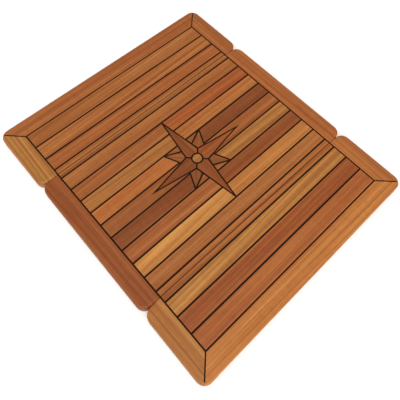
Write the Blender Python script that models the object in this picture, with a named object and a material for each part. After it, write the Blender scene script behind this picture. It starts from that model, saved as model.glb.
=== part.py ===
"""A folding teak mat: an inlaid centre panel with a hinged leaf on each side.

The mat lies flat on rubber foot bars. X runs across the planks, Y along them and Z up, with the
origin on the floor under the middle of the open mat. Each leaf folds down and under the centre
panel on a continuous hinge, and the two folded leaves then fill the centre panel's underside.

Every panel is a base panel with teak planks laid on it, a border of thicker teak boards lapped
over the base's edges, and one web of seam compound between the planks. The centre panel carries
an eight-pointed star whose corners fall on the plank seams.

Panel coordinates: the centre panel's are centred, with Z = 0 on its underside. A leaf's start at
its joint edge, with X outwards, so that one set of functions builds the right leaf and, turned
half a turn, the left one.
"""

import math

import bmesh
import bpy
from mathutils import Matrix, Vector

# ---- Driving dimensions, in metres ------------------------------------------------------------

LEAF_X = 0.2085  # a leaf across the planks, from its joint edge to its outer wall
OPEN_Y = 0.726  # the whole mat along the planks
BOARD_T = 0.030  # border boards, from underside to top
PLANK_T = 0.008  # planks and inlay, and so the depth of the seams
BORDER_W = 0.0533  # border board, from its outer wall to the middle of the inner seam
SEAM_W = 0.0034  # seam between planks
STAR_SEAM_W = 0.0026  # seam round the star's pieces
STRIP_W = 0.0159  # narrow strip along a joint, from the joint edge to the middle of its seam
NARROW_PLANK_W = 0.0432  # the leaf plank beside the strip, from seam to seam
CORNER_R = 0.024  # plan radius of the panels' outer corners
EDGE_R = 0.005  # rounding of the top outer edges
LOW_EDGE_R = 0.002  # rounding of the bottom outer edges
LAP_W = 0.012  # how far a border board's lip lies over the base panel
CAULK_DROP = 0.0002  # the compound's top, below the planks' top

JOINT_GAP = 0.001  # between the centre panel and an open leaf
FOLD_GAP = 0.005  # between the two leaves when both are folded under
GLUE_GAP = 0.0003  # between pieces that touch

KNUCKLE_R = 0.0041
KNUCKLE_SINK = 0.0009  # between a knuckle's top and the panels' underside
PIN_R = 0.0016
PIN_CLEARANCE = 0.0003  # on the pin's radius
PLATE_W = 0.024  # hinge plate, from the axis to its far edge
PLATE_T = 0.0016
KNUCKLE_COUNT = 15
KNUCKLE_GAP = 0.0004
HINGE_INSET = 0.050  # from the panel's side wall to the end of the hinge

FOLDED_CLEARANCE = 0.0004  # between a foot bar and the panel folded against it
FOOT_W = 0.018
FOOT_INSET_Y = 0.075  # from the panel's side wall to the end of a foot bar
FOOT_CORNER_R = 0.006  # plan radius of a foot bar's corners
FOOT_ROUND = 0.0015  # rounding of a foot bar's bottom edges
CENTRE_FOOT_X = 0.120  # middle of a centre foot bar from the middle of the mat
FOOT_UNDER_BASE = 0.0034  # how far a leaf's foot bar, under the end board, reaches in under the base

PULL_LIP_T = 0.008  # wood left above the finger pull
PULL_DEPTH = 0.014  # how far the finger pull goes in under the lip
PULL_END_INSET = 0.045  # from the panel's side wall to where the pull starts
PULL_COVE_R = 0.006  # rounding of the pull's inner top corner

CENTRE_PLANKS = 9
LEAF_PLANKS = 3
SHARP_ANGLE = math.radians(30)  # a steeper edge is shaded sharp
CORNER_STEPS = 12
EDGE_STEPS = 6
ROUND_SIDES = 16

# ---- Sizes that follow ------------------------------------------------------------------------

CENTRE_X = 2 * LEAF_X + FOLD_GAP
AXIS_X = (CENTRE_X + JOINT_GAP) / 2
AXIS_DROP = KNUCKLE_R + KNUCKLE_SINK  # hinge axis below the panels' underside
FOOT_H = 2 * AXIS_DROP - FOLDED_CLEARANCE
BASE_T = BOARD_T - PLANK_T
PITCH = (CENTRE_X - 2 * STRIP_W) / CENTRE_PLANKS
SEAM_Y = OPEN_Y / 2 - BORDER_W  # middle of the seam along the side boards
SEAM_X = LEAF_X - BORDER_W  # middle of the seam along an end board, in leaf coordinates
LAP_X = SEAM_X + SEAM_W / 2 + LAP_W  # a leaf base's outer edge, in leaf coordinates
LAP_Y = SEAM_Y + SEAM_W / 2 + LAP_W  # the base panels' far edge
HINGE_LEN = OPEN_Y - 2 * HINGE_INSET
MITRE_BACK = SEAM_W / 4  # how far a mitre seam starts back inside the inner seam
OVERRUN = 0.010  # how far a cutter runs past what it cuts
SAME_PLACE = 0.0001  # closer than this counts as the same height or the same wall

# The star's points, in plank pitches, for one eighth of it.
STAR_TIP = (CENTRE_PLANKS - 2) / 2
RAY_TIP = 1.5
VALLEY = 0.5
DISC_R = 0.35
RAY_ROOT = 1.0  # where a ray's edge meets a long point's edge
RAY_ROOT_SIDE = VALLEY * (STAR_TIP - RAY_ROOT) / (STAR_TIP - VALLEY)
INFILL_SIDE = VALLEY * (STAR_TIP - RAY_TIP) / (STAR_TIP - VALLEY)

# ---- Colours (linear), roughness and metallic --------------------------------------------------

TONES = {
    "golden": (0.56, 0.27, 0.085),
    "honey": (0.47, 0.20, 0.060),
    "amber": (0.40, 0.150, 0.045),
    "copper": (0.34, 0.115, 0.038),
    "russet": (0.27, 0.080, 0.028),
    "umber": (0.20, 0.062, 0.024),
}
PLANK_TONES = {
    1: ("amber", "amber"),
    2: ("copper", "russet"),
    3: ("honey", "amber"),
    4: ("amber", "umber"),
    5: ("copper", "copper"),
    6: ("umber", "golden"),
    7: ("copper", "russet"),
    8: ("golden", "honey"),
    9: ("amber", "amber"),
}  # near half, far half
LEAF_TONES = {
    "left": {"planks": ("copper", "amber", "amber"), "strip": "amber", "end": "copper",
             "near": "golden", "far": "copper"},
    "right": {"planks": ("golden", "russet", "copper"), "strip": "amber", "end": "honey",
              "near": "honey", "far": "amber"},
}


def material(name, colour, roughness, metallic=0.0):
    """A Principled material, made once for each name."""
    found = bpy.data.materials.get(name)
    if found:
        return found
    made = bpy.data.materials.new(name)
    made.use_nodes = True
    shader = made.node_tree.nodes["Principled BSDF"]
    shader.inputs["Base Color"].default_value = (*colour, 1.0)
    shader.inputs["Roughness"].default_value = roughness
    shader.inputs["Metallic"].default_value = metallic
    made.diffuse_color = (*colour, 1.0)
    return made


def teak(tone):
    return material("teak_" + tone, TONES[tone], 0.5)


def plywood():
    return material("plywood", (0.42, 0.26, 0.13), 0.7)


def compound():
    return material("caulking", (0.012, 0.008, 0.006), 0.6)


def rubber():
    return material("foot_rubber", (0.02, 0.02, 0.02), 0.8)


def steel():
    return material("hinge_steel", (0.55, 0.55, 0.54), 0.35, 1.0)


# ---- Outlines, as lists of (x, y) in counter-clockwise order ------------------------------------


def rectangle(x0, x1, y0, y1):
    return [(x0, y0), (x1, y0), (x1, y1), (x0, y1)]


def arc(centre, radius, start, end, steps):
    """Points on a circle from one angle to another, both included."""
    turns = [start + (end - start) * i / steps for i in range(steps + 1)]
    return [(centre[0] + radius * math.cos(a), centre[1] + radius * math.sin(a)) for a in turns]


def rounded_rectangle(x0, x1, y0, y1, radius):
    quarter = math.pi / 2
    centres = [(x0 + radius, y0 + radius), (x1 - radius, y0 + radius),
               (x1 - radius, y1 - radius), (x0 + radius, y1 - radius)]
    outline = []
    for i, centre in enumerate(centres):
        start = (i + 2) * quarter
        outline += arc(centre, radius, start, start + quarter, CORNER_STEPS)
    return outline


def grown(outline, distance):
    """The outline moved outwards by a distance, or inwards by a negative one, with its corners kept sharp."""
    moved = []
    for i, point in enumerate(outline):
        here = Vector(point)
        before = (here - Vector(outline[i - 1])).normalized()
        after = (Vector(outline[(i + 1) % len(outline)]) - here).normalized()
        out_before = Vector((before.y, -before.x))
        out_after = Vector((after.y, -after.x))
        middle = (out_before + out_after).normalized()
        moved.append(tuple(here + middle * distance / middle.dot(out_before)))
    return moved


def turned(outline, quarters):
    """The outline turned about the origin by quarter turns."""
    for _ in range(quarters):
        outline = [(-y, x) for x, y in outline]
    return outline


def scaled(outline, factor):
    return [(x * factor, y * factor) for x, y in outline]


# ---- Solids -------------------------------------------------------------------------------------


def prism_mesh(name, outlines, z0, z1):
    """A mesh of one upright prism for each outline."""
    bm = bmesh.new()
    for outline in outlines:
        floor = bm.faces.new([bm.verts.new((x, y, z0)) for x, y in outline])
        grown_up = bmesh.ops.extrude_face_region(bm, geom=[floor], use_keep_orig=True)
        top = [v for v in grown_up["geom"] if isinstance(v, bmesh.types.BMVert)]
        bmesh.ops.translate(bm, verts=top, vec=(0, 0, z1 - z0))
    bmesh.ops.recalc_face_normals(bm, faces=bm.faces)
    mesh = bpy.data.meshes.new(name)
    bm.to_mesh(mesh)
    bm.free()
    return mesh


class Panel:
    """A place to hang pieces on: an empty on the panel's axis, and the offset of panel coordinates from it."""

    def __init__(self, name, location, turn, offset):
        self.offset = offset
        self.empty = bpy.data.objects.new(name, None)
        self.empty.location = location
        self.empty.rotation_euler = (0, 0, turn)
        bpy.context.collection.objects.link(self.empty)

    def add(self, name, mesh, dressed=None):
        """An object on this panel. Without a material it is a cutter."""
        obj = bpy.data.objects.new(name, mesh)
        obj.parent = self.empty
        obj.location = self.offset
        bpy.context.collection.objects.link(obj)
        if dressed:
            obj.data.materials.append(dressed)
        else:
            obj.hide_render = True
            obj.display_type = "WIRE"
        return obj

    def prism(self, name, outline, z0, z1, dressed=None):
        return self.add(name, prism_mesh(name, [outline], z0, z1), dressed)

    def cutter(self, name, outlines, z0, z1):
        return self.add(name, prism_mesh(name, outlines, z0, z1))


def boolean(obj, cutter, operation="DIFFERENCE"):
    modifier = obj.modifiers.new(cutter.name, "BOOLEAN")
    modifier.operation = operation
    modifier.object = cutter
    return obj


def smooth(obj):
    obj.data.shade_smooth()
    obj.data.set_sharp_from_angle(angle=SHARP_ANGLE)
    return obj


def border_slab_mesh(name, x0, x1, joints):
    """The whole block that a panel's border boards are cut from, its outer edges rounded but not its joint edges."""
    mesh = prism_mesh(name, [rounded_rectangle(x0, x1, -OPEN_Y / 2, OPEN_Y / 2, CORNER_R)], 0, BOARD_T)
    bm = bmesh.new()
    bm.from_mesh(mesh)

    def outer_edges(height):
        level = [e for e in bm.edges if all(abs(v.co.z - height) < SAME_PLACE for v in e.verts)]
        return [e for e in level
                if not any(all(abs(v.co.x - x) < SAME_PLACE for v in e.verts) for x in joints)]

    for height, radius, steps in ((BOARD_T, EDGE_R, EDGE_STEPS), (0.0, LOW_EDGE_R, EDGE_STEPS // 2)):
        bmesh.ops.bevel(bm, geom=outer_edges(height), offset=radius, offset_type="OFFSET",
                        segments=steps, profile=0.5, affect="EDGES", material=-1,
                        clamp_overlap=False)
    bm.to_mesh(mesh)
    bm.free()
    return mesh


# ---- Centre panel -------------------------------------------------------------------------------


def star_long_point():
    """The long point towards +Y, from seam to seam, in pitches."""
    root = arc((0, 0), DISC_R, math.pi / 4, 3 * math.pi / 4, CORNER_STEPS)
    return list(reversed(root)) + [(VALLEY, VALLEY), (0, STAR_TIP), (-VALLEY, VALLEY)]


def star_ray():
    """The short ray between the long points towards +X and +Y, in pitches."""
    return [(VALLEY, VALLEY), (RAY_ROOT, RAY_ROOT_SIDE), (RAY_TIP, RAY_TIP), (RAY_ROOT_SIDE, RAY_ROOT)]


def star_outline():
    """The star's outline with the small infills beside its rays, in pitches."""
    right_up = [(STAR_TIP, 0), (RAY_TIP, INFILL_SIDE), (RAY_TIP, RAY_TIP), (RAY_ROOT_SIDE, RAY_ROOT)]
    left_up = [(-x, y) for x, y in reversed(right_up[1:])]
    up = right_up + [(0, STAR_TIP)] + left_up
    return up + [(-x, -y) for x, y in up]


def plank_seam(k):
    """The seam on the left of centre plank k, counted from 1."""
    return (k - 1 - CENTRE_PLANKS / 2) * PITCH


def centre_plank(k, half, extra=0.0):
    """Plank k's rectangle less its seams: its near half (-1), its far half (1) or all of it (0)."""
    inset = SEAM_W / 2 - extra
    y0 = 0.0 if half > 0 else -SEAM_Y + inset
    y1 = 0.0 if half < 0 else SEAM_Y - inset
    return rectangle(plank_seam(k) + inset, plank_seam(k + 1) - inset, y0, y1)


def joint_strip(sign, extra=0.0):
    """The narrow strip along the centre panel's joint edge on one side."""
    edge = CENTRE_X / 2 + (OVERRUN if extra else 0.0)
    seam = CENTRE_X / 2 - STRIP_W + SEAM_W / 2 - extra
    side = SEAM_Y - SEAM_W / 2 + extra
    x0, x1 = sorted((sign * seam, sign * edge))
    return rectangle(x0, x1, -side, side)


def star_pieces():
    """Name, outline from seam to seam and tone of each star piece."""
    pieces = []
    for quarter, side in enumerate(("north", "west", "south", "east")):
        outline = scaled(turned(star_long_point(), quarter), PITCH)
        pieces.append(("star_point_" + side, outline, "russet"))
    for quarter, corner in enumerate(("north_east", "north_west", "south_west", "south_east")):
        outline = scaled(turned(star_ray(), quarter), PITCH)
        pieces.append(("star_ray_" + corner, outline, "copper"))
    return pieces


def star_infills():
    """The outlines of the four slips that close the plank seams beside the rays."""
    slip = [(RAY_ROOT, RAY_ROOT_SIDE), (RAY_TIP, INFILL_SIDE), (RAY_TIP, RAY_TIP)]
    flipped = [(x, -y) for x, y in reversed(slip)]
    right = [slip, flipped]
    left = [[(-x, y) for x, y in reversed(outline)] for outline in right]
    return [scaled(outline, PITCH) for outline in right + left]


def disc_outline(radius):
    return arc((0, 0), radius, 0, 2 * math.pi * (1 - 1 / (2 * ROUND_SIDES)), 2 * ROUND_SIDES - 1)


def build_centre(panel):
    top = BASE_T + GLUE_GAP
    panel.prism("centre_base", rectangle(-CENTRE_X / 2, CENTRE_X / 2, -LAP_Y, LAP_Y), 0, BASE_T,
                plywood())

    far_x = CENTRE_X / 2 + OVERRUN
    inner = SEAM_Y + SEAM_W / 2
    for side, sign, tone in (("near", -1, "russet"), ("far", 1, "copper")):
        mesh = border_slab_mesh("centre_side_board_" + side, -CENTRE_X / 2, CENTRE_X / 2,
                                (-CENTRE_X / 2, CENTRE_X / 2))
        board = panel.add("centre_side_board_" + side, mesh, teak(tone))
        region = sorted((sign * inner, sign * (OPEN_Y / 2 + OVERRUN)))
        rebate = sorted((sign * (inner - OVERRUN), sign * (LAP_Y + GLUE_GAP)))
        boolean(board, panel.cutter("cut_centre_side_" + side, [rectangle(-far_x, far_x, *region)],
                                    -OVERRUN, BOARD_T + OVERRUN), "INTERSECT")
        boolean(board, panel.cutter("cut_centre_rebate_" + side, [rectangle(-far_x, far_x, *rebate)],
                                    -OVERRUN, top))
        smooth(board)

    for side, sign in (("left", -1), ("right", 1)):
        panel.prism("centre_strip_" + side, joint_strip(sign), top, BOARD_T, teak("amber"))

    # The planks that the star crosses are in two lengths, each cut to the star's outline.
    whole = scaled(star_outline(), PITCH)
    clearance = panel.cutter("cut_star", [grown(whole, STAR_SEAM_W / 2)], 0, BOARD_T + OVERRUN)
    for k in range(1, CENTRE_PLANKS + 1):
        if k in (1, CENTRE_PLANKS):
            panel.prism(f"plank_{k}", centre_plank(k, 0), top, BOARD_T, teak(PLANK_TONES[k][0]))
            continue
        for (side, sign), tone in zip((("near", -1), ("far", 1)), PLANK_TONES[k]):
            plank = panel.prism(f"plank_{k}_{side}", centre_plank(k, sign), top, BOARD_T, teak(tone))
            boolean(plank, clearance)

    for name, outline, tone in star_pieces():
        panel.prism(name, grown(outline, -STAR_SEAM_W / 2), top, BOARD_T, teak(tone))
    disc = panel.prism("star_disc", disc_outline(DISC_R * PITCH - STAR_SEAM_W / 2), top, BOARD_T,
                       teak("honey"))
    smooth(disc)
    build_centre_caulking(panel, whole)


def build_centre_caulking(panel, star):
    """One web of compound: a plate less every plank and star piece, each cut a glue gap wide."""
    z0 = BASE_T + GLUE_GAP
    z1 = BOARD_T - CAULK_DROP
    deep = (0.0, BOARD_T + OVERRUN)
    edge_y = SEAM_Y + SEAM_W / 2 - GLUE_GAP
    web = panel.prism("centre_caulking", rectangle(-CENTRE_X / 2, CENTRE_X / 2, -edge_y, edge_y),
                      z0, z1, compound())

    long_edges = [joint_strip(-1, GLUE_GAP), joint_strip(1, GLUE_GAP),
                  centre_plank(1, 0, GLUE_GAP), centre_plank(CENTRE_PLANKS, 0, GLUE_GAP)]
    boolean(web, panel.cutter("cut_web_edges", long_edges, *deep))

    halved = [centre_plank(k, 0, GLUE_GAP) for k in range(2, CENTRE_PLANKS)]
    crossed = panel.cutter("cut_web_planks", halved, *deep)
    kept = panel.cutter("keep_star", [grown(star, STAR_SEAM_W / 2 - GLUE_GAP)], -OVERRUN,
                        BOARD_T + 2 * OVERRUN)
    boolean(crossed, kept)
    boolean(web, crossed)

    inlay = [grown(outline, GLUE_GAP - STAR_SEAM_W / 2) for _, outline, _ in star_pieces()]
    inlay += [grown(outline, GLUE_GAP - STAR_SEAM_W / 2) for outline in star_infills()]
    inlay.append(disc_outline(DISC_R * PITCH - STAR_SEAM_W / 2 + GLUE_GAP))
    boolean(web, panel.cutter("cut_web_star", inlay, *deep))


# ---- Leaves ---------------------------------------------------------------------------------------


def mitre_bar(sign, width, short=0.0):
    """The plan of a mitre seam, from the inner seam's corner to just short of the corner's rounding."""
    reach = BORDER_W * math.sqrt(2) - CORNER_R * (math.sqrt(2) - 1) - EDGE_R - short
    along = Vector((1, sign)).normalized()
    across = Vector((along.y, -along.x)) * width / 2
    start = Vector((SEAM_X, sign * SEAM_Y)) - along * MITRE_BACK
    end = Vector((SEAM_X, sign * SEAM_Y)) + along * reach
    return [tuple(p) for p in (start + across, end + across, end - across, start - across)]


def leaf_planks(extra=0.0):
    """The rectangles of a leaf's planks, from its strip outwards."""
    inset = SEAM_W / 2 - extra
    wide = (SEAM_X - STRIP_W - NARROW_PLANK_W) / (LEAF_PLANKS - 1)
    seams = [STRIP_W, STRIP_W + NARROW_PLANK_W]
    seams += [seams[-1] + wide * (i + 1) for i in range(LEAF_PLANKS - 1)]
    side = SEAM_Y - inset
    return [rectangle(a + inset, b - inset, -side, side) for a, b in zip(seams, seams[1:])]


def leaf_strip(extra=0.0):
    side = SEAM_Y - SEAM_W / 2 + extra
    return rectangle(-OVERRUN if extra else 0.0, STRIP_W - SEAM_W / 2 + extra, -side, side)


def end_board_region(gap):
    """The plan of an end board, mitred at both ends, each mitre moved back by a gap."""
    inner = SEAM_X + SEAM_W / 2
    outer = LEAF_X + OVERRUN
    shift = gap * math.sqrt(2)
    low = SEAM_Y - SEAM_X
    return [(inner, -(inner + low - shift)), (outer, -(outer + low - shift)),
            (outer, outer + low - shift), (inner, inner + low - shift)]


def side_board_region(sign, gap):
    """The plan of a leaf's side board, square at the joint and mitred at its outer end."""
    inner = SEAM_Y + SEAM_W / 2
    outer = OPEN_Y / 2 + OVERRUN
    shift = gap * math.sqrt(2)
    back = SEAM_Y - SEAM_X
    points = [(-OVERRUN, inner), (inner - back - shift, inner), (outer - back - shift, outer),
              (-OVERRUN, outer)]
    return points if sign > 0 else [(x, -y) for x, y in reversed(points)]


def pull_cutter(panel, name):
    """The finger pull's shape: a long scoop under the end board's outer edge, run out at both ends."""
    half = OPEN_Y / 2 - PULL_END_INSET
    x_in = LEAF_X - PULL_DEPTH
    x_out = LEAF_X + OVERRUN
    plan = [(x_in, -half + PULL_DEPTH), (x_out, -half - OVERRUN), (x_out, half + OVERRUN),
            (x_in, half - PULL_DEPTH)]
    mesh = prism_mesh(name, [plan], -OVERRUN, BOARD_T - PULL_LIP_T)
    bm = bmesh.new()
    bm.from_mesh(mesh)
    high = BOARD_T - PULL_LIP_T
    inner_top = [e for e in bm.edges
                 if all(abs(v.co.z - high) < SAME_PLACE and v.co.x < LEAF_X for v in e.verts)]
    bmesh.ops.bevel(bm, geom=inner_top, offset=PULL_COVE_R, offset_type="OFFSET", segments=EDGE_STEPS,
                    profile=0.5, affect="EDGES", material=-1)
    bm.to_mesh(mesh)
    bm.free()
    return panel.add(name, mesh)


def build_leaf(panel, side):
    """One leaf. Turned half a turn, the left leaf's local +Y side is its near side."""
    tones = LEAF_TONES[side]
    top = BASE_T + GLUE_GAP
    half_gap = GLUE_GAP / 2
    high = BOARD_T + OVERRUN
    panel.prism(side + "_base", rectangle(0, LAP_X, -LAP_Y, LAP_Y), 0, BASE_T, plywood())

    rebate = rectangle(-OVERRUN, LAP_X + GLUE_GAP, -LAP_Y - GLUE_GAP, LAP_Y + GLUE_GAP)
    rebate_cut = panel.cutter(f"cut_{side}_rebate", [rebate], -OVERRUN, top)
    mitre_cut = panel.cutter(f"cut_{side}_mitres", [mitre_bar(1, SEAM_W), mitre_bar(-1, SEAM_W)],
                             BASE_T, high)

    def border_board(name, region, tone):
        mesh = border_slab_mesh(name, 0.0, LEAF_X, (0.0,))
        board = panel.add(name, mesh, teak(tone))
        boolean(board, panel.cutter("cut_" + name, [region], -OVERRUN, high), "INTERSECT")
        boolean(board, rebate_cut)
        boolean(board, mitre_cut)
        return smooth(board)

    end_board = border_board(side + "_end_board", end_board_region(half_gap), tones["end"])
    boolean(end_board, pull_cutter(panel, f"cut_{side}_pull"))
    for place, world_sign in (("near", -1), ("far", 1)):
        sign = world_sign if side == "right" else -world_sign
        border_board(f"{side}_side_board_{place}", side_board_region(sign, half_gap), tones[place])

    panel.prism(side + "_strip", leaf_strip(), top, BOARD_T, teak(tones["strip"]))
    for i, (outline, tone) in enumerate(zip(leaf_planks(), tones["planks"])):
        panel.prism(f"{side}_plank_{i + 1}", outline, top, BOARD_T, teak(tone))

    edge_y = SEAM_Y + SEAM_W / 2 - GLUE_GAP
    web = panel.prism(side + "_caulking",
                      rectangle(0, SEAM_X + SEAM_W / 2 - GLUE_GAP, -edge_y, edge_y), top,
                      BOARD_T - CAULK_DROP, compound())
    laid = [leaf_strip(GLUE_GAP)] + leaf_planks(GLUE_GAP)
    boolean(web, panel.cutter(f"cut_{side}_web", laid, 0, high))
    arms = [mitre_bar(sign, SEAM_W - 2 * GLUE_GAP, short=GLUE_GAP) for sign in (1, -1)]
    arms_mesh = prism_mesh(f"add_{side}_mitres", arms, top, BOARD_T - CAULK_DROP)
    boolean(web, panel.add(f"add_{side}_mitres", arms_mesh), "UNION")


# ---- Hinges and feet --------------------------------------------------------------------------------


def knuckle_spans(odd):
    """The stretches of Y that one hinge plate's knuckles take."""
    pitch = HINGE_LEN / KNUCKLE_COUNT
    spans = []
    for i in range(KNUCKLE_COUNT):
        if i % 2 == odd:
            start = -HINGE_LEN / 2 + i * pitch
            spans.append((start + KNUCKLE_GAP / 2, start + pitch - KNUCKLE_GAP / 2))
    return spans


def cylinders_mesh(name, radius, spans, sides):
    """A mesh of round bars along Y, on the axis X = 0, Z = 0."""
    bm = bmesh.new()
    for y0, y1 in spans:
        made = bmesh.ops.create_cone(bm, cap_ends=True, segments=sides, radius1=radius, radius2=radius,
                                     depth=y1 - y0)
        bmesh.ops.rotate(bm, verts=made["verts"], cent=(0, 0, 0),
                         matrix=Matrix.Rotation(math.pi / 2, 3, "X"))
        bmesh.ops.translate(bm, verts=made["verts"], vec=(0, (y0 + y1) / 2, 0))
    bmesh.ops.recalc_face_normals(bm, faces=bm.faces)
    mesh = bpy.data.meshes.new(name)
    bm.to_mesh(mesh)
    bm.free()
    return mesh


def build_hinge_plate(axis, name, sign, odd):
    """One plate with its knuckles, in coordinates centred on the hinge axis. The plate lies towards sign * X."""
    root = KNUCKLE_R + KNUCKLE_GAP
    outline = [(PLATE_W, -HINGE_LEN / 2), (PLATE_W, HINGE_LEN / 2), (root, HINGE_LEN / 2)]
    for y0, y1 in reversed(knuckle_spans(odd)):
        outline += [(root, y1 - KNUCKLE_GAP), (0, y1 - KNUCKLE_GAP), (0, y0 + KNUCKLE_GAP),
                    (root, y0 + KNUCKLE_GAP)]
    outline.append((root, -HINGE_LEN / 2))
    if sign < 0:
        outline = [(-x, y) for x, y in reversed(outline)]
    top = AXIS_DROP - GLUE_GAP
    plate = axis.add(name, prism_mesh(name, [outline], top - PLATE_T, top), steel())
    spans = knuckle_spans(odd)
    knuckles = axis.add("add_" + name, cylinders_mesh("add_" + name, KNUCKLE_R, spans, ROUND_SIDES))
    bore_span = [(-HINGE_LEN / 2 - OVERRUN, HINGE_LEN / 2 + OVERRUN)]
    bore = axis.add("bore_" + name, cylinders_mesh("bore_" + name, PIN_R + PIN_CLEARANCE, bore_span,
                                                   ROUND_SIDES))
    boolean(plate, knuckles, "UNION")
    boolean(plate, bore)
    return smooth(plate)


def build_foot(panel, name, x):
    """A rubber foot bar under a panel, its bottom on the floor."""
    half = OPEN_Y / 2 - FOOT_INSET_Y
    outline = rounded_rectangle(x - FOOT_W / 2, x + FOOT_W / 2, -half, half, FOOT_CORNER_R)
    foot = panel.prism(name, outline, -FOOT_H, -GLUE_GAP, rubber())
    bevel = foot.modifiers.new("bottom edge", "BEVEL")
    bevel.width = FOOT_ROUND
    bevel.segments = 2
    bevel.limit_method = "ANGLE"
    bevel.angle_limit = math.pi / 3
    return smooth(foot)


def build():
    for obj in list(bpy.data.objects):
        bpy.data.objects.remove(obj, do_unlink=True)

    centre = Panel("centre_panel", (0, 0, FOOT_H), 0.0, (0, 0, 0))
    build_centre(centre)
    for x, side in ((-CENTRE_FOOT_X, "left"), (CENTRE_FOOT_X, "right")):
        build_foot(centre, "centre_foot_" + side, x)

    for side, sign, turn in (("left", -1, math.pi), ("right", 1, 0.0)):
        place = (sign * AXIS_X, 0, FOOT_H - AXIS_DROP)
        leaf = Panel(side + "_leaf", place, turn, (JOINT_GAP / 2, 0, AXIS_DROP))
        build_leaf(leaf, side)
        build_foot(leaf, side + "_leaf_foot", LAP_X - FOOT_UNDER_BASE + FOOT_W / 2)

        axis = Panel(side + "_hinge", place, turn, (0, 0, 0))
        build_hinge_plate(axis, side + "_hinge_leaf_plate", 1, odd=1)
        build_hinge_plate(axis, side + "_hinge_centre_plate", -1, odd=0)
        span = [(-HINGE_LEN / 2, HINGE_LEN / 2)]
        pin_mesh = cylinders_mesh(side + "_hinge_pin", PIN_R, span, ROUND_SIDES)
        smooth(axis.add(side + "_hinge_pin", pin_mesh, steel()))


build()
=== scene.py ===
"""The looks of a folding teak mat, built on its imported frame.

The mat is a centre panel with a hinged leaf on each side. Every panel is planked in teak over a plywood
base, with a border of thicker boards, black seam compound between the pieces and, in the centre, an inlaid
compass star. Each class below is one sub-assembly: it takes its places from the frame's nodes, shapes the
pieces and dresses them. Sizes are in metres, and every piece sits in the frame's own coordinates.
"""

import logging
import math
import random
from collections.abc import Iterable
from dataclasses import dataclass, field
from enum import Enum
from typing import ClassVar, TypeVar

import bmesh
import bpy
from mathutils import Matrix, Quaternion, Vector


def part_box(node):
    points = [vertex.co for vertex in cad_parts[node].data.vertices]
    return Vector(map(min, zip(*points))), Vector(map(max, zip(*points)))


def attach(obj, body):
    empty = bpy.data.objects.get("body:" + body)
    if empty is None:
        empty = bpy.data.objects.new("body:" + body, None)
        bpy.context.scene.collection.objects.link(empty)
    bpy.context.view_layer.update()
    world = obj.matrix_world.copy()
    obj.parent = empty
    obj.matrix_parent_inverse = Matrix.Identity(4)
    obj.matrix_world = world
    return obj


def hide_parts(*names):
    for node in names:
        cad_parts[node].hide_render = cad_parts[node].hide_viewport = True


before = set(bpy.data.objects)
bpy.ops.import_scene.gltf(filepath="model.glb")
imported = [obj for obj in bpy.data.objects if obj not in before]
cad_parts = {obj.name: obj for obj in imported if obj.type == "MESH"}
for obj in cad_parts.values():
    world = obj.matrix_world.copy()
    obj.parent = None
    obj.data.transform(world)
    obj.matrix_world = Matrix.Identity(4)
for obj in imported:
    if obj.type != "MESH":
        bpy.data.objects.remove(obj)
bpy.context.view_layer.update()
LOG = logging.getLogger("teak_mat")

Colour = tuple[float, float, float]
Socket = bpy.types.NodeSocket
Inputs = dict[str | int, object]
MeshPart = TypeVar("MeshPart")

MERGE_DISTANCE = 0.00001  # corners closer than this are one corner
FLAT_ANGLE = math.radians(1)  # faces that turn less than this lie in one plane
SHARP_ANGLE = math.radians(60)  # faces that turn more than this meet in an edge that gets worked
SOFT_ANGLE = math.radians(40)  # faces that turn less than this are shaded as one round
UPRIGHT = 0.5  # a face whose normal rises less than this is a wall
BROAD_FACE = 0.0003  # square metres: a face larger than this is shaded flat against its neighbours
FINISHED = "_finish"  # ends the name of every finish's material made here


# ---- Node trees ------------------------------------------------------------------------------------------


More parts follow.
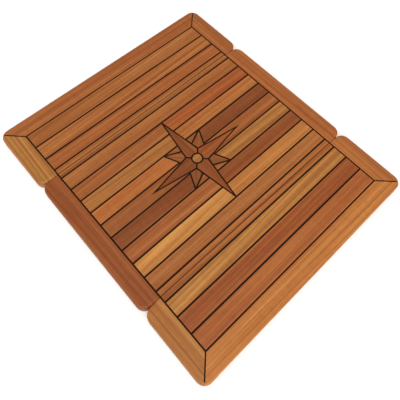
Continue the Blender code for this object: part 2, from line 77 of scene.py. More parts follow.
class Canvas:
    """A pen for one node tree: adds nodes, feeds their sockets and returns what they put out."""

    def __init__(self, tree: bpy.types.NodeTree) -> None:
        """Takes the tree to draw in."""
        self.tree = tree

    def feed(self, socket: Socket, value: object) -> None:
        """Links a socket to another one, or sets its value.

        Args:
            socket: The input to feed.
            value: A socket to link from, or a plain value.
        """
        if isinstance(value, bpy.types.NodeSocket):
            self.tree.links.new(value, socket)
        else:
            socket.default_value = value

    def node(self, kind: str, inputs: Inputs | None = None, **settings: object) -> bpy.types.Node:
        """Adds a node.

        Args:
            kind: The node's type name.
            inputs: What to feed to each input, by name or number.
            settings: The node's own properties.

        Returns:
            The new node.
        """
        made = self.tree.nodes.new(kind)
        for key, value in settings.items():
            setattr(made, key, value)
        for key, value in (inputs or {}).items():
            self.feed(made.inputs[key], value)
        return made

    def math(self, operation: str, first: object, second: object = 0.0) -> Socket:
        """One step of arithmetic on two numbers."""
        return self.node("ShaderNodeMath", {0: first, 1: second}, operation=operation).outputs[0]

    def scaled(self, vector: Socket, per_metre: Colour) -> Socket:
        """The vector with each axis multiplied."""
        made = self.node("ShaderNodeMapping", {"Vector": vector, "Scale": per_metre})
        return made.outputs["Vector"]

    def noise(self, vector: Socket, per_metre: Colour, detail: float, roughness: float = 0.5) -> Socket:
        """Soft noise stretched along the axes.

        Args:
            vector: Where the noise is read, in metres.
            per_metre: Features per metre along each axis.
            detail: Octaves of finer noise.
            roughness: How strongly the finer octaves show.

        Returns:
            A value around 0.5.
        """
        place = self.scaled(vector, per_metre)
        inputs = {"Vector": place, "Scale": 1.0, "Detail": detail, "Roughness": roughness}
        return self.node("ShaderNodeTexNoise", inputs).outputs["Fac"]

    def spread(self, value: Socket, low: float, high: float, to_low: float = 0.0,
               to_high: float = 1.0) -> Socket:
        """A range of values mapped onto another, and held at its ends.

        Args:
            value: The number to map.
            low: The value that becomes to_low.
            high: The value that becomes to_high.
            to_low: The result at and below low.
            to_high: The result at and above high.

        Returns:
            The mapped number.
        """
        inputs = {"Value": value, "From Min": low, "From Max": high, "To Min": to_low, "To Max": to_high}
        return self.node("ShaderNodeMapRange", inputs).outputs["Result"]

    def blend(self, share: object, first: object, second: object, mode: str = "MIX") -> Socket:
        """Two colours mixed.

        Args:
            share: How much of the second colour, from 0 to 1.
            first: The colour underneath.
            second: The colour on top.
            mode: How the second colour is laid on.

        Returns:
            The mixed colour.
        """
        made = self.node("ShaderNodeMix", data_type="RGBA", blend_type=mode)
        self.feed(made.inputs[0], share)
        self.feed(made.inputs[6], first)
        self.feed(made.inputs[7], second)
        return made.outputs[2]

    def rise(self, normal: Socket) -> Socket:
        """How far a face looks straight up or straight down, from 0 on a wall to 1."""
        return self.math("ABSOLUTE", self.node("ShaderNodeSeparateXYZ", {0: normal}).outputs["Z"])

    def group(self, tree: bpy.types.NodeTree, inputs: Inputs) -> bpy.types.Node:
        """Places a shared node group in this tree.

        Args:
            tree: The group.
            inputs: What to feed to each of its inputs.

        Returns:
            The new node.
        """
        made = self.tree.nodes.new("ShaderNodeGroup")
        made.node_tree = tree
        for key, value in inputs.items():
            self.feed(made.inputs[key], value)
        return made


@dataclass(frozen=True)
class SharedEffect:
    """A shader node group that several materials use, with named inputs and outputs.

    Attributes:
        name: The group's name.
        inputs: Each input's name and its default, a number or a vector.
        outputs: The outputs' names, all of them numbers.
    """

    name: str
    inputs: dict[str, object]
    outputs: tuple[str, ...]

    def start(self) -> tuple[bpy.types.NodeTree, Canvas, bpy.types.Node, bpy.types.Node]:
        """Makes the empty group.

        Returns:
            The tree, a canvas for it, its input node and its output node.
        """
        tree = bpy.data.node_groups.new(self.name, "ShaderNodeTree")
        for title, default in self.inputs.items():
            kind = "NodeSocketFloat" if isinstance(default, float) else "NodeSocketVector"
            socket = tree.interface.new_socket(title, in_out="INPUT", socket_type=kind)
            socket.default_value = default
        for title in self.outputs:
            tree.interface.new_socket(title, in_out="OUTPUT", socket_type="NodeSocketFloat")
        canvas = Canvas(tree)
        return tree, canvas, canvas.node("NodeGroupInput"), canvas.node("NodeGroupOutput")


@dataclass(frozen=True)
class NoiseLayer:
    """One mark of the teak figure: noise drawn out along the grain, from 0 to 1.

    Attributes:
        output: The group's output that it feeds.
        across: Features per metre across the grain.
        along: Features per metre along it.
        octaves: How many finer octaves it has.
        low: The noise that becomes 0.
        high: The noise that becomes 1.
        roughness: How strongly the finer octaves show.
    """

    output: str
    across: float
    along: float
    octaves: float
    low: float
    high: float
    roughness: float = 0.5


FIGURE = (
    NoiseLayer("Streaks", 130.0, 1.6, 2.0, 0.34, 0.66, 0.55),
    NoiseLayer("Fibre", 480.0, 7.0, 3.0, 0.30, 0.70, 0.62),
    NoiseLayer("Pores", 1500.0, 42.0, 1.0, 0.60, 0.72),
    NoiseLayer("Drift", 16.0, 2.4, 2.0, 0.28, 0.72),
    NoiseLayer("Ripple", 12.0, 75.0, 1.0, 0.30, 0.70),
)
BEND = (14.0, 2.2, 14.0)  # the rings' wander, in features per metre
TAPER = 0.014  # how far a ring moves outwards for each metre up the tree


def teak_figure() -> bpy.types.NodeTree:
    """The figure of sawn teak, made once: growth rings, fibres, pores, slow drift and cross ripple.

    The grain vector runs across the board in X, along the grain in Y and through the board in Z, with the
    tree's heart on the Y axis.

    Returns:
        The node group.
    """
    effect = SharedEffect(
        "teak_figure",
        {"Grain": (0.0, 0.0, 0.0), "Ring Pitch": 0.011, "Wander": 0.012},
        ("Rings", *(layer.output for layer in FIGURE)),
    )
    found = bpy.data.node_groups.get(effect.name)
    if found:
        return found
    tree, pen, given, result = effect.start()
    grain = given.outputs["Grain"]

    # Distance from the tree's heart, bent by a slow wander and tapering up the tree.
    bend = pen.math("SUBTRACT", pen.noise(grain, BEND, 2.0), 0.5)
    flat = pen.node("ShaderNodeVectorMath", {0: grain, 1: (1.0, 0.0, 1.0)}, operation="MULTIPLY").outputs[0]
    reach = pen.node("ShaderNodeVectorMath", {0: flat}, operation="LENGTH").outputs["Value"]
    height = pen.node("ShaderNodeSeparateXYZ", {0: grain}).outputs["Y"]
    reach = pen.math("ADD", reach, pen.math("MULTIPLY", height, TAPER))
    reach = pen.math("ADD", reach, pen.math("MULTIPLY", bend, given.outputs["Wander"]))
    count = pen.math("DIVIDE", reach, given.outputs["Ring Pitch"])
    ring_noise = {"W": count, "Scale": 1.0, "Detail": 4.0, "Roughness": 0.66}
    rings = pen.node("ShaderNodeTexNoise", ring_noise, noise_dimensions="1D").outputs["Fac"]
    pen.feed(result.inputs["Rings"], pen.spread(rings, 0.36, 0.64))

    for layer in FIGURE:
        noise = pen.noise(grain, (layer.across, layer.along, layer.across), layer.octaves, layer.roughness)
        pen.feed(result.inputs[layer.output], pen.spread(noise, layer.low, layer.high))
    return tree


def edge_wear_and_highlight() -> bpy.types.NodeTree:
    """A mask for rounded and eased edges, broken up by noise, made once. It marks wear and a painted
    highlight, since it follows only how far a face slopes.

    Returns:
        The node group, with one output from 0 on flat faces to 1 on a well rubbed and highlit edge.
    """
    inputs = {"Vector": (0.0, 0.0, 0.0), "Normal": (0.0, 0.0, 1.0), "Amount": 0.5}
    effect = SharedEffect("edge_wear_and_highlight", inputs, ("WearAndHighlight",))
    found = bpy.data.node_groups.get(effect.name)
    if found:
        return found
    tree, pen, given, result = effect.start()
    # The slope is greatest, 1, halfway between a wall and a level face.
    rise = pen.rise(given.outputs["Normal"])
    slope = pen.math("MULTIPLY", rise, pen.math("SUBTRACT", 1.0, rise))
    slope = pen.math("MULTIPLY", slope, 4.0)
    patchy = pen.noise(given.outputs["Vector"], (60.0, 60.0, 60.0), 3.0, 0.6)
    patchy = pen.spread(patchy, 0.35, 0.65, 0.35, 1.0)
    # The lightening this mask drives is wear and also a painted highlight along the rounded edges.
    worn_and_highlit = pen.math("MULTIPLY", pen.math("MULTIPLY", slope, patchy), given.outputs["Amount"])
    pen.feed(result.inputs["WearAndHighlight"], worn_and_highlit)
    return tree


def speckle() -> bpy.types.NodeTree:
    """Fine tooth and slow patches for moulded, sanded and rolled surfaces, made once.

    Returns:
        The node group.
    """
    effect = SharedEffect("speckle", {"Vector": (0.0, 0.0, 0.0), "Fineness": 1500.0}, ("Tooth", "Patches"))
    found = bpy.data.node_groups.get(effect.name)
    if found:
        return found
    tree, pen, given, result = effect.start()
    fine = {"Vector": given.outputs["Vector"], "Scale": given.outputs["Fineness"], "Detail": 2.0}
    tooth = pen.node("ShaderNodeTexNoise", fine).outputs["Fac"]
    pen.feed(result.inputs["Tooth"], pen.spread(tooth, 0.35, 0.65))
    patches = pen.noise(given.outputs["Vector"], (28.0, 28.0, 28.0), 3.0)
    pen.feed(result.inputs["Patches"], pen.spread(patches, 0.35, 0.65))
    return tree


# ---- Finishes ----------------------------------------------------------------------------------------------


class MaterialCanvas(Canvas):
    """A canvas for a new material, with its Principled shader and the usual coordinates."""

    def __init__(self, name: str, sockets: dict[str, float]) -> None:
        """Makes the material.

        Args:
            name: The material's name.
            sockets: Values for the shader's own sockets.
        """
        self.material = bpy.data.materials.new(name)
        self.material.use_nodes = True
        super().__init__(self.material.node_tree)
        self.shader = self.tree.nodes["Principled BSDF"]
        for title, value in sockets.items():
            self.shader.inputs[title].default_value = value
        self.places = self.node("ShaderNodeTexCoord").outputs

    def bump(self, height: Socket, strength: float, distance: float) -> None:
        """Feeds the shader's normal with a bump."""
        made = self.node("ShaderNodeBump", {"Height": height, "Strength": strength, "Distance": distance})
        self.feed(self.shader.inputs["Normal"], made.outputs["Normal"])

    def shade(self, colour: Socket, roughness: Socket) -> None:
        """Feeds the shader's colour and roughness."""
        self.feed(self.shader.inputs["Base Color"], colour)
        self.feed(self.shader.inputs["Roughness"], roughness)


@dataclass(frozen=True)
class Finish:
    """What one material slot is covered with.

    Attributes:
        slot: The record's material slot.
    """

    slot: str
    sockets: ClassVar[dict[str, float]] = {}

    def material(self) -> bpy.types.Material:
        """Finds the material, or makes it.

        Returns:
            The material, whose name is the slot's with the ending for finished ones.
        """
        name = self.slot + FINISHED
        found = bpy.data.materials.get(name)
        if found:
            return found
        pen = MaterialCanvas(name, self.sockets)
        self.paint(pen)
        return pen.material

    def paint(self, pen: MaterialCanvas) -> None:
        """Draws the material's nodes, which each finish does in its own way."""
        raise NotImplementedError


@dataclass(frozen=True)
class TeakFinish(Finish):
    """Oiled teak of one tone. Its material reads a piece's own grain and shade attributes, and the mark for
    painted shade on its chamfers.

    Attributes:
        wood: The pale wood between the growth rings.
        streak: The dark wood of the rings, as a share of the pale wood.
        blush: The redder colour that the wood drifts to, as a share of the pale wood.
        ring_share: How strongly the rings show.
        streak_share: How strongly the broad streaks show.
        fibre_share: How strongly the fibres show.
        pore_share: How strongly the pores show.
        ripple_swing: How far the cross ripple lightens and darkens the wood.
        drift_swing: How far the slow drift does.
        worn_and_highlit: How much lighter a rounded edge is, as wear and as a painted highlight.
        chamfer_shade_level: How light the painted shade leaves the chamfers along the seams and joints,
            beside open wood.
    """

    sockets: ClassVar[dict[str, float]] = {"Specular IOR Level": 0.20}
    wood: Colour
    streak: Colour = (0.52, 0.40, 0.34)
    blush: Colour = (0.99, 0.77, 0.62)
    ring_share: float = 0.55
    streak_share: float = 0.30
    fibre_share: float = 0.20
    pore_share: float = 0.45
    ripple_swing: float = 0.03
    drift_swing: float = 0.10
    worn_and_highlit: float = 0.25
    chamfer_shade_level: float = 0.30

    def paint(self, pen: MaterialCanvas) -> None:
        """Draws the wood.

        Args:
            pen: The material's canvas.
        """
        grain = pen.node("ShaderNodeAttribute", attribute_name="grain").outputs["Vector"]
        shade = pen.node("ShaderNodeAttribute", attribute_name="shade").outputs["Fac"]
        # This attribute marks the chamfers that get painted shade.
        chamfer_shade = pen.node("ShaderNodeAttribute", attribute_name="chamfer_shade").outputs["Fac"]
        figure = pen.group(teak_figure(), {"Grain": grain}).outputs
        surface = {"Vector": pen.places["Object"], "Normal": pen.places["Normal"]}
        wear_and_highlight = pen.group(edge_wear_and_highlight(), surface).outputs["WearAndHighlight"]

        dark = tuple(a * b for a, b in zip(self.wood, self.streak))
        ruddy = tuple(a * b for a, b in zip(self.wood, self.blush))
        blushing = pen.math("MULTIPLY", pen.math("ADD", figure["Drift"], figure["Streaks"]), 0.5)
        pale = pen.blend(pen.spread(blushing, 0.2, 0.8), (*self.wood, 1.0), (*ruddy, 1.0))
        lines = pen.math("ADD", pen.math("MULTIPLY", figure["Rings"], self.ring_share),
                         pen.math("MULTIPLY", figure["Fibre"], self.fibre_share))
        lines = pen.math("ADD", lines, pen.math("MULTIPLY", figure["Streaks"], self.streak_share))
        colour = pen.blend(lines, pale, (*dark, 1.0))
        pores = pen.math("MULTIPLY", figure["Pores"], self.pore_share)
        colour = pen.blend(pores, colour, (*dark, 1.0), "MULTIPLY")

        # Rounded edges are lightened for wear and as a painted highlight, except on the chamfers, which carry
        # painted shade.
        rubbed_and_highlit = pen.math("MULTIPLY", wear_and_highlight, pen.math("SUBTRACT", 1.0, chamfer_shade))
        glow = shade
        for mark, at_none, at_full in (
            (figure["Ripple"], 1.0 - self.ripple_swing, 1.0 + self.ripple_swing),
            (figure["Drift"], 1.0 + self.drift_swing, 1.0 - self.drift_swing),
            (rubbed_and_highlit, 1.0, 1.0 + self.worn_and_highlit),
            (chamfer_shade, 1.0, self.chamfer_shade_level),
        ):
            glow = pen.math("MULTIPLY", glow, pen.spread(mark, 0.0, 1.0, at_none, at_full))
        toned = pen.node("ShaderNodeHueSaturation", {"Color": colour, "Value": glow})
        rough = pen.math("ADD", pen.spread(figure["Fibre"], 0.0, 1.0, 0.40, 0.52),
                         pen.math("MULTIPLY", wear_and_highlight, 0.10))
        pen.shade(toned.outputs["Color"], rough)
        relief = pen.math("ADD", pen.math("MULTIPLY", figure["Pores"], -0.8),
                          pen.math("MULTIPLY", figure["Fibre"], -0.35))
        pen.bump(relief, 0.35, 0.00025)


@dataclass(frozen=True)
class PlywoodFinish(Finish):
    """Marine plywood: a straight-grained face veneer, and plies that show on the cut edges.

    Attributes:
        veneer: The face veneer.
        streak: The veneer's dark fibres.
        cross_ply: The end grain of every other ply.
        ply: One ply's thickness.
    """

    sockets: ClassVar[dict[str, float]] = {"Specular IOR Level": 0.3}
    slot: str = "plywood"
    veneer: Colour = (0.40, 0.235, 0.115)
    streak: Colour = (0.26, 0.135, 0.060)
    cross_ply: Colour = (0.19, 0.095, 0.045)
    ply: float = 0.0022

    def paint(self, pen: MaterialCanvas) -> None:
        """Draws the veneer and the plies.

        Args:
            pen: The material's canvas.
        """
        place = pen.places["Object"]
        fibre = pen.noise(place, (420.0, 8.0, 420.0), 3.0, 0.6)
        broad = pen.noise(place, (40.0, 3.0, 40.0), 2.0)
        lines = pen.math("ADD", pen.spread(fibre, 0.3, 0.7, 0.0, 0.6),
                         pen.spread(broad, 0.35, 0.65, 0.0, 0.4))
        face = pen.blend(lines, (*self.veneer, 1.0), (*self.streak, 1.0))
        level = pen.node("ShaderNodeSeparateXYZ", {0: place}).outputs["Z"]
        layer = pen.math("PINGPONG", level, self.ply)
        crossed = pen.spread(layer, self.ply * 0.45, self.ply * 0.55)
        edge = pen.blend(crossed, face, (*self.cross_ply, 1.0))
        level_face = pen.spread(pen.rise(pen.places["Normal"]), 0.4, 0.6)
        pen.shade(pen.blend(level_face, edge, face), pen.spread(fibre, 0.3, 0.7, 0.55, 0.72))
        pen.bump(fibre, 0.3, 0.0002)


@dataclass(frozen=True)
class CompoundFinish(Finish):
    """Black seam compound, sanded nearly flush, with a dusty tooth.

    Attributes:
        fresh: Clean compound.
        dusty: Compound with dust in its tooth.
    """

    sockets: ClassVar[dict[str, float]] = {"Specular IOR Level": 0.06}
    slot: str = "caulking"
    fresh: Colour = (0.008, 0.003, 0.001)
    dusty: Colour = (0.020, 0.009, 0.004)

    def paint(self, pen: MaterialCanvas) -> None:
        """Draws the compound.

        Args:
            pen: The material's canvas.
        """
        grit = pen.group(speckle(), {"Vector": pen.places["Object"], "Fineness": 2200.0}).outputs
        dust = pen.math("MULTIPLY", grit["Tooth"], pen.spread(grit["Patches"], 0.0, 1.0, 0.3, 1.0))
        colour = pen.blend(dust, (*self.fresh, 1.0), (*self.dusty, 1.0))
        pen.shade(colour, pen.spread(grit["Patches"], 0.0, 1.0, 0.5, 0.7))
        pen.bump(grit["Tooth"], 0.3, 0.0001)


@dataclass(frozen=True)
class RubberFinish(Finish):
    """Moulded black rubber, greyed where it rubs and along its rounded edges, which is wear and a painted
    highlight.

    Attributes:
        skin: The moulded skin.
        rubbed_and_highlit: Where it rubs, and the painted highlight on its rounded edges.
    """

    sockets: ClassVar[dict[str, float]] = {"Specular IOR Level": 0.35}
    slot: str = "foot_rubber"
    skin: Colour = (0.014, 0.014, 0.015)
    rubbed_and_highlit: Colour = (0.055, 0.054, 0.053)

    def paint(self, pen: MaterialCanvas) -> None:
        """Draws the rubber.

        Args:
            pen: The material's canvas.
        """
        grit = pen.group(speckle(), {"Vector": pen.places["Object"], "Fineness": 1400.0}).outputs
        surface = {"Vector": pen.places["Object"], "Normal": pen.places["Normal"], "Amount": 0.8}
        wear_and_highlight = pen.group(edge_wear_and_highlight(), surface).outputs["WearAndHighlight"]
        # The grey follows the edge mask: wear and a painted highlight on the rounded edges, with random
        # patches.
        greyed = pen.math("MAXIMUM", wear_and_highlight, pen.math("MULTIPLY", grit["Patches"], 0.25))
        colour = pen.blend(greyed, (*self.skin, 1.0), (*self.rubbed_and_highlit, 1.0))
        pen.shade(colour, pen.spread(grit["Tooth"], 0.0, 1.0, 0.62, 0.80))
        pen.bump(grit["Tooth"], 0.4, 0.00015)


@dataclass(frozen=True)
class SteelFinish(Finish):
    """Stainless steel, brushed along the hinge and a little scuffed.

    Attributes:
        bright: Clean steel.
        dull: Smeared steel.
    """

    sockets: ClassVar[dict[str, float]] = {"Metallic": 1.0}
    slot: str = "hinge_steel"
    bright: Colour = (0.62, 0.62, 0.60)
    dull: Colour = (0.42, 0.41, 0.39)

    def paint(self, pen: MaterialCanvas) -> None:
        """Draws the steel.

        Args:
            pen: The material's canvas.
        """
        place = pen.places["Object"]
        brushed = pen.spread(pen.noise(place, (2600.0, 60.0, 2600.0), 2.0), 0.3, 0.7)
        grit = pen.group(speckle(), {"Vector": place, "Fineness": 900.0}).outputs
        smear = pen.math("MULTIPLY", grit["Patches"], 0.6)
        rough = pen.math("ADD", pen.spread(brushed, 0.0, 1.0, 0.26, 0.36), pen.math("MULTIPLY", smear, 0.15))
        pen.shade(pen.blend(smear, (*self.bright, 1.0), (*self.dull, 1.0)), rough)
        pen.bump(brushed, 0.15, 0.00005)


class Tone(Enum):
    """The tones of teak in the mat, from the palest to the darkest."""

    GOLDEN = TeakFinish("teak_golden", (0.50, 0.228, 0.056))
    HONEY = TeakFinish("teak_honey", (0.51, 0.215, 0.054))
    AMBER = TeakFinish("teak_amber", (0.44, 0.166, 0.043))
    COPPER = TeakFinish("teak_copper", (0.40, 0.140, 0.037))
    RUSSET = TeakFinish("teak_russet", (0.335, 0.103, 0.026))
    UMBER = TeakFinish("teak_umber", (0.285, 0.087, 0.022))


PLYWOOD = PlywoodFinish()
COMPOUND = CompoundFinish()
RUBBER = RubberFinish()
STEEL = SteelFinish()


# ---- Pieces ------------------------------------------------------------------------------------------------


class GrainRun(Enum):
    """Which way a piece's grain runs, as its turn from the planks' own direction in degrees."""

    LENGTHWISE = 0.0
    CROSSWISE = 90.0
    NORTH_EAST = -45.0
    NORTH_WEST = 45.0


@dataclass(frozen=True)
class Timber:
    """The stick of wood that a piece is cut from.

    Attributes:
        tone: Its tone.
        shade: How light it is beside others of its tone.
        run: Which way its grain runs.
        quarter_sawn: True for straight lines along the piece, False for a flat-sawn board's arches.
    """

    tone: Tone
    shade: float = 1.0
    run: GrainRun = GrainRun.LENGTHWISE
    quarter_sawn: bool = True


def each_once(parts: Iterable[MeshPart]) -> list[MeshPart]:
    """Lists each part of a mesh once, in the order given. A set's order would differ from run to run."""
    return list(dict.fromkeys(parts))


def settle(bm: bmesh.types.BMesh) -> None:
    """Sorts the parts of a mesh by where they lie, because some operators mix them anew on every run.

    Args:
        bm: The mesh. Its faces with a common middle are told apart by their area.
    """
    bearing = Vector((1.0, math.sqrt(2), math.sqrt(3)))
    bm.verts.sort(key=lambda v: v.co.dot(bearing))
    bm.edges.sort(key=lambda e: sum((v.co for v in e.verts), Vector()).dot(bearing))
    bm.faces.sort(key=lambda f: f.calc_center_median().dot(bearing) + f.calc_area())


@dataclass
class Bench:
    """Where pieces are cut, marked with their grain and set on their bodies. It draws one random stream.

    Attributes:
        seed: What the random stream starts from.
        heart_near: The nearest that a log's heart lies to the middle of a piece.
        heart_far: The farthest.
        skew: How far the grain may turn from the piece's length.
        reach_along: How far up or down its log a piece may come from.
        quarter_lean: The smallest and largest angle of a quarter-sawn piece's face to its log's radius.
        flat_lean: The same for a flat-sawn piece.
    """

    seed: int
    heart_near: float = 0.05
    heart_far: float = 0.16
    skew: float = math.radians(1.6)
    reach_along: float = 20.0
    quarter_lean: tuple[float, float] = (0.05, 0.45)
    flat_lean: tuple[float, float] = (1.2, 1.5)

    def __post_init__(self) -> None:
        """Starts the random stream."""
        self.draw = random.Random(self.seed)

    def copy_of(self, node: str) -> bmesh.types.BMesh:
        """Copies a CAD node as one closed skin of flat faces.

        Args:
            node: The node's name.

        Returns:
            A new bmesh in the frame's coordinates.
        """
        bm = bmesh.new()
        bm.from_mesh(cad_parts[node].data)
        bmesh.ops.remove_doubles(bm, verts=bm.verts, dist=MERGE_DISTANCE)
        bmesh.ops.dissolve_limit(bm, angle_limit=FLAT_ANGLE, verts=bm.verts, edges=bm.edges)
        return bm

    def ease(self, bm: bmesh.types.BMesh, edges: list[bmesh.types.BMEdge], width: float,
             segments: int) -> list[bmesh.types.BMFace]:
        """Rounds edges over.

        Args:
            bm: The piece.
            edges: The edges to round.
            width: How far the rounding reaches from each edge.
            segments: Its steps.

        Returns:
            The faces that the rounding added.
        """
        made = bmesh.ops.bevel(bm, geom=edges, offset=width, offset_type="OFFSET", segments=segments,
                               profile=0.5, affect="EDGES", material=-1, clamp_overlap=True)
        return made["faces"]

    def chamfer_top(self, bm: bmesh.types.BMesh, width: float) -> None:
        """Chamfers the sharp edges of a piece's top, and marks the chamfers for painted shade, which darkens
        them like the shaded seams and joints.

        Args:
            bm: The piece.
            width: How far the chamfer reaches from each edge.
        """
        top = max(v.co.z for v in bm.verts)
        rim = [e for e in bm.edges if all(top - v.co.z < MERGE_DISTANCE for v in e.verts)]
        sharp = [e for e in rim if e.calc_face_angle(0.0) > SHARP_ANGLE]
        # The chamfers are marked for painted shade: the wood there is darkened like the shade in the seams
        # and joints.
        chamfer_shade = bm.faces.layers.float.new("chamfer_shade")
        for face in self.ease(bm, sharp, width, 1):
            face[chamfer_shade] = 1.0

    def mark_grain(self, mesh: bpy.types.Mesh, timber: Timber) -> None:
        """Writes the piece's grain coordinates and its shade as attributes.

        Args:
            mesh: The piece's mesh.
            timber: What it is cut from.
        """
        corners = [v.co.copy() for v in mesh.vertices]
        middle = sum(corners, Vector()) / len(corners)
        turn = math.radians(-timber.run.value) + self.draw.uniform(-self.skew, self.skew)
        distance = self.draw.uniform(self.heart_near, self.heart_far)
        side = self.draw.choice((-1.0, 1.0))
        lean = self.draw.uniform(*(self.quarter_lean if timber.quarter_sawn else self.flat_lean))
        heart = Vector((side * distance * math.cos(lean), self.draw.uniform(-1, 1) * self.reach_along,
                        distance * math.sin(lean)))
        placed = Matrix.Translation(heart) @ Matrix.Rotation(turn, 4, "Z") @ Matrix.Translation(-middle)
        mesh.attributes.new("grain", "FLOAT_VECTOR", "POINT")
        mesh.attributes.new("shade", "FLOAT", "POINT")
        for i, corner in enumerate(corners):
            mesh.attributes["grain"].data[i].vector = placed @ corner
            mesh.attributes["shade"].data[i].value = timber.shade

    def set_down(self, bm: bmesh.types.BMesh, name: str, body: str, finish: Finish,
                 *replaced: str) -> bpy.types.Object:
        """Turns a bmesh into a finished piece on its body.

        Args:
            bm: The piece's shape, which is freed.
            name: The piece's name.
            body: The CAD body that it rides on.
            finish: A finish with a slot and a material.
            replaced: The CAD nodes that it stands for.

        Returns:
            The piece.
        """
        for face in bm.faces:
            face.smooth = True
        for edge in bm.edges:
            broad = any(face.calc_area() > BROAD_FACE for face in edge.link_faces)
            edge.smooth = not broad and edge.calc_face_angle(0.0) < SOFT_ANGLE
        mesh = bpy.data.meshes.new(name)
        bm.to_mesh(mesh)
        bm.free()
        mesh.materials.clear()
        mesh.materials.append(finish.material())
        piece = bpy.data.objects.new(name, mesh)
        bpy.context.collection.objects.link(piece)
        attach(piece, body)
        if replaced:
            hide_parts(*replaced)
        LOG.info("%s on %s, %d faces", name, body, len(mesh.polygons))
        return piece

    def cut_timber(self, node: str, body: str, timber: Timber, easing: float) -> bpy.types.Object:
        """Makes a wooden piece from a CAD node, its top edges chamfered.

        Args:
            node: The CAD node that it replaces.
            body: The body that it rides on.
            timber: What it is cut from.
            easing: How far the chamfer reaches from each sharp top edge.

        Returns:
            The piece.
        """
        bm = self.copy_of(node)
        self.chamfer_top(bm, easing)
        piece = self.set_down(bm, "teak_" + node, body, timber.tone.value, node)
        self.mark_grain(piece.data, timber)
        return piece


@dataclass
class Boarding:
    """A set of wooden pieces of one panel: its planks and joint strips, or the boards of its border.

    Attributes:
        body: The body that they ride on.
        timbers: What each CAD node's piece is cut from.
        easing: How far the chamfer along their seams reaches.
    """

    body: str
    timbers: dict[str, Timber]
    easing: float = 0.0007

    def build(self, bench: Bench) -> None:
        """Cuts every piece."""
        for node, timber in self.timbers.items():
            bench.cut_timber(node, self.body, timber, self.easing)


@dataclass
class CompassStar:
    """The inlaid star: four long points, four short rays, a disc and the slips beside the rays.

    Attributes:
        timbers: What each CAD node's piece is cut from.
        slips: What the slips are cut from, by the corner of the star that they lie in.
        easing: How far the chamfer along the seams reaches.
        tip: A long point's tip, in plank pitches from the middle.
        valley: Where two long points' roots meet, in pitches on both axes.
        ray_tip: A ray's tip, in pitches on both axes.
        ray_root: Where a ray's edge meets a long point's, in pitches along it.
        seam: The seam round the star's pieces.
    """

    timbers: dict[str, Timber]
    slips: dict[str, Timber]
    easing: float = 0.0011
    tip: float = 3.5
    valley: float = 0.5
    ray_tip: float = 1.5
    ray_root: float = 1.0
    seam: float = 0.0026

    def flank(self, along: float) -> float:
        """How wide half a long point is at a distance along it, in pitches."""
        return self.valley * (self.tip - along) / (self.tip - self.valley)

    def slip_mesh(self, right: float, far: float) -> bmesh.types.BMesh:
        """Shapes one of the slips that close a plank seam beside a ray.

        Args:
            right: 1 for the right of the star, -1 for the left.
            far: 1 for its far side, -1 for its near side.

        Returns:
            The slip, from the planks' underside to their top.
        """
        low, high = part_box("plank_5_near")
        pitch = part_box("plank_6_near")[0].x - low.x
        root = Vector((self.ray_root, self.flank(self.ray_root)))
        crossing = Vector((self.ray_tip, self.flank(self.ray_tip)))
        tip = Vector((self.ray_tip, self.ray_tip))
        corners = [corner * pitch for corner in (root, crossing, tip)]
        bm = bmesh.new()
        face = bm.faces.new([bm.verts.new((x, y, low.z)) for x, y in corners])
        face.normal_update()
        bmesh.ops.inset_region(bm, faces=[face], thickness=self.seam / 2, use_boundary=True,
                               use_even_offset=True)
        rim = [f for f in bm.faces if f is not face]
        bmesh.ops.delete(bm, geom=rim, context="FACES")
        grown = bmesh.ops.extrude_face_region(bm, geom=list(bm.faces), use_keep_orig=True)
        lifted = [v for v in grown["geom"] if isinstance(v, bmesh.types.BMVert)]
        bmesh.ops.translate(bm, verts=lifted, vec=(0, 0, high.z - low.z))
        bmesh.ops.scale(bm, verts=bm.verts, vec=(right, far, 1))
        bmesh.ops.recalc_face_normals(bm, faces=bm.faces)
        return bm

    def build(self, bench: Bench) -> None:
        """Cuts the star's pieces and lays the slips.

        Args:
            bench: Where they are cut.
        """
        for node, timber in self.timbers.items():
            bench.cut_timber(node, "centre", timber, self.easing)
        for corner, timber in self.slips.items():
            far = 1.0 if corner.startswith("north") else -1.0
            right = 1.0 if corner.endswith("east") else -1.0
            bm = self.slip_mesh(right, far)
            bench.chamfer_top(bm, self.easing)
            piece = bench.set_down(bm, "teak_star_slip_" + corner, "centre", timber.tone.value)
            bench.mark_grain(piece.data, timber)


